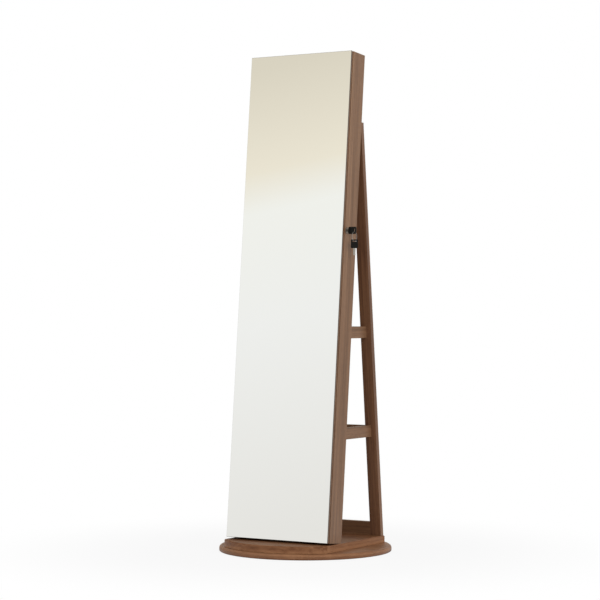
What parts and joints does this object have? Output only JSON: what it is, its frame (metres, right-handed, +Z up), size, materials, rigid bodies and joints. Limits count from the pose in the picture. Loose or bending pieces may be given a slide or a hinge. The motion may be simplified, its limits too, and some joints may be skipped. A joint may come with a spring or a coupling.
{
  "type": "rotating jewelry armoire",
  "caption": "Leaning full-length mirror cabinet on a rear A-frame with open shelves, turning on a round base; the mirror is a locking door over a lined jewelry case.",
  "frame": {"origin": "centre of the round base at floor level, on the turning axis", "axes": "+Z up, -Y towards the viewer of the mirror, +X to the right of someone who faces the mirror"},
  "size_m": [0.4999, 0.5, 1.4385],
  "materials": {
    "walnut": "satin walnut veneer on board",
    "inner_walnut": "satin walnut foil inside the cabinet",
    "mirror": "silvered float glass, ground edges",
    "door_board": "walnut foil on thin board",
    "velvet": "black velvet on thin board",
    "roll_velvet": "black velvet over foam",
    "zinc_steel": "zinc plated",
    "bearing_steel": "polished",
    "hinge_metal": "antique brass",
    "black_nickel": "black nickel plated",
    "ring_steel": "nickel plated spring steel",
    "key_steel": "nickel plated",
    "key_plastic": "moulded black",
    "catch_plastic": "moulded brown",
    "hook_metal": "antique brass",
    "pad_rubber": "matt",
    "beech": "raw"
  },
  "bodies": {
    "base": {"base_disc": "walnut", "base_pads": "pad_rubber", "turntable_outer_ring": "zinc_steel", "turntable_balls": "bearing_steel", "outer_ring_screws": "zinc_steel"},
    "door": {"mirror_glass": "mirror", "door_panel": "door_board", "door_lining": "velvet", "hinge_door_leaves": "hinge_metal", "lock_keeper": "zinc_steel", "catch_plate": "zinc_steel"},
    "lock_core": {"lock_plug": "black_nickel", "lock_cam": "zinc_steel", "cam_screw": "zinc_steel", "key_blade": "key_steel", "key_bow": "key_plastic"},
    "spare_key": {"key_ring": "ring_steel", "spare_key_bow": "key_plastic", "spare_key_blade": "key_steel"},
    "stand": {"turntable_inner_ring": "zinc_steel", "inner_ring_screws": "zinc_steel", "platform_screws": "zinc_steel", "frame_screws": "zinc_steel", "turning_platform": "walnut", "rail_dowels": "beech", "bottom_rail": "walnut", "lower_rear_rail": "walnut", "upper_rear_rail": "walnut", "top_rail": "walnut", "left_leg": "walnut", "right_leg": "walnut", "lower_left_shelf_rail": "walnut", "lower_right_shelf_rail": "walnut", "lower_shelf": "walnut", "upper_left_shelf_rail": "walnut", "upper_right_shelf_rail": "walnut", "upper_shelf": "walnut", "inner_shelf_1": "inner_walnut", "inner_shelf_2": "inner_walnut", "inner_shelf_3": "inner_walnut", "guard_rods": "hook_metal", "bin_front": "inner_walnut", "lock_housing": "black_nickel", "lock_nut": "zinc_steel", "left_side_panel": "walnut", "right_side_panel": "walnut", "top_board": "walnut", "bottom_board": "walnut", "back_panel": "walnut", "back_lining": "velvet", "hinge_body_leaves": "hinge_metal", "hinge_pins": "hinge_metal", "catch_magnet": "catch_plastic", "ring_tray": "inner_walnut", "ring_rolls": "roll_velvet", "earring_bar_1": "inner_walnut", "earring_bar_2": "inner_walnut", "earring_bar_3": "inner_walnut", "hook_rail": "inner_walnut", "necklace_hooks": "hook_metal"}
  },
  "joints": [
    {"name": "swivel", "type": "hinge", "parent": "base", "child": "stand", "pos_m": [0, 0, 0], "axis": [0, 0, 1], "continuous": true},
    {"name": "door_hinge", "type": "hinge", "parent": "stand", "child": "door", "pos_m": [-0.1727, -0.08066, 0.74079], "axis": [0, -0.0958, -0.9954], "range_deg": [0, 115]},
    {"name": "key_turn", "type": "hinge", "parent": "stand", "child": "lock_core", "pos_m": [0.171, -0.05098, 0.92379], "axis": [1, 0, 0], "range_deg": [0, 90]},
    {"name": "spare_key_hang", "type": "hinge", "parent": "lock_core", "child": "spare_key", "pos_m": [0.1954, -0.05171, 0.9162], "axis": [1, 0, 0], "range_deg": [-90, 0]}
  ],
  "couplings": [
    {"joint": "spare_key_hang", "follows": "key_turn", "ratio": -1}
  ]
}
